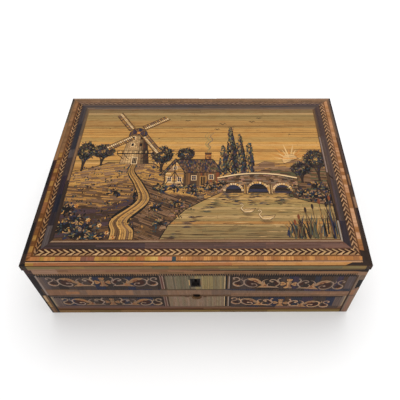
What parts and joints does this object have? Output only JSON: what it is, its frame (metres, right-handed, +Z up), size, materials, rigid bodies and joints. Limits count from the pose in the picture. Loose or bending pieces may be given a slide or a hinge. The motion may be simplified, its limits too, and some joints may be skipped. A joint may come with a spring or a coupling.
{
  "type": "work box",
  "caption": "Flat rectangular work box in straw marquetry: hinged lid with a bordered picture panel, locked upper compartment and a full-width drawer below.",
  "frame": {"origin": "middle of the underside of the closed box, on the surface it stands on", "axes": "+X to the box's right as seen from the front, +Y to the back, +Z up; the front with keyhole and drawer faces -Y"},
  "size_m": [0.3, 0.2234, 0.098],
  "materials": {
    "carcase_wood": "old softwood, dry and unpolished, darkened at the edges",
    "drawer_wood": "thin softwood, planed, lightly soiled",
    "straw_picture": "split golden straw laid lengthways, satin, with dark dyed straw inlay",
    "straw_border": "straw bands, golden blocks, herringbone and dark dyed strips, satin",
    "straw_edge": "green-grey faded straw laid crossways, satin",
    "straw_brown": "brown straw strips laid lengthways, worn satin",
    "straw_panel": "dark dyed straw laid upright, with pale scroll inlay, satin",
    "straw_tablet": "greenish pale straw laid upright, satin",
    "straw_side": "straw strips and panels, worn satin",
    "lining_paper": "faded blue-grey laid paper",
    "hinge_brass": "dull old brass",
    "lock_iron": "dark wrought iron, slightly rusted",
    "screw_steel": "dull filed steel"
  },
  "bodies": {
    "case": {"bottom_board": "carcase_wood", "left_side_board": "carcase_wood", "right_side_board": "carcase_wood", "back_board": "carcase_wood", "upper_front_board": "carcase_wood", "front_rail": "carcase_wood", "compartment_floor": "carcase_wood", "long_partition": "carcase_wood", "left_cross_partition": "carcase_wood", "right_cross_partition": "carcase_wood", "compartment_papers": "lining_paper", "drawer_stops": "carcase_wood", "carcase_pins": "screw_steel", "left_side_straw": "straw_side", "right_side_straw": "straw_side", "back_straw": "straw_side", "front_band_straw": "straw_brown", "upper_left_scroll_panel": "straw_panel", "upper_right_scroll_panel": "straw_panel", "keyhole_tablet_straw": "straw_tablet", "front_rail_straw": "straw_brown", "stile_straw": "straw_brown", "bottom_edge_straw": "straw_brown", "lock_plate": "lock_iron", "lock_cap": "lock_iron", "lock_spring": "lock_iron", "lock_screws": "screw_steel", "left_hinge_case_leaf": "hinge_brass", "right_hinge_case_leaf": "hinge_brass", "hinge_pins": "hinge_brass", "hinge_case_screws": "screw_steel"},
    "lock_bolt": {"lock_bolt": "lock_iron"},
    "lid": {"lid_board": "carcase_wood", "lid_moulding_front": "carcase_wood", "lid_moulding_back": "carcase_wood", "lid_moulding_left": "carcase_wood", "lid_moulding_right": "carcase_wood", "picture_board": "carcase_wood", "picture_straw": "straw_picture", "lid_border_straw_front": "straw_border", "lid_border_straw_back": "straw_border", "lid_border_straw_left": "straw_border", "lid_border_straw_right": "straw_border", "lid_edge_straw": "straw_edge", "lid_paper": "lining_paper", "left_hinge_lid_leaf": "hinge_brass", "right_hinge_lid_leaf": "hinge_brass", "hinge_lid_screws": "screw_steel", "link_plate": "hinge_brass", "link_plate_screws": "screw_steel"},
    "drawer": {"drawer_front": "drawer_wood", "drawer_left_side": "drawer_wood", "drawer_right_side": "drawer_wood", "drawer_back": "drawer_wood", "drawer_bottom": "drawer_wood", "drawer_border_straw": "straw_brown", "drawer_left_scroll_panel": "straw_panel", "drawer_right_scroll_panel": "straw_panel", "drawer_tablet_straw": "straw_tablet", "drawer_paper": "lining_paper"}
  },
  "joints": [
    {"name": "lid_hinge", "type": "hinge", "parent": "case", "child": "lid", "pos_m": [0, 0.10865, 0.08715], "axis": [-1, 0, 0], "range_deg": [0, 100]},
    {"name": "drawer_slide", "type": "slide", "parent": "case", "child": "drawer", "axis": [0, -1, 0], "range_m": [0, 0.19]},
    {"name": "lock_bolt_slide", "type": "slide", "parent": "case", "child": "lock_bolt", "axis": [1, 0, 0], "range_m": [0, 0.0045]}
  ]
}
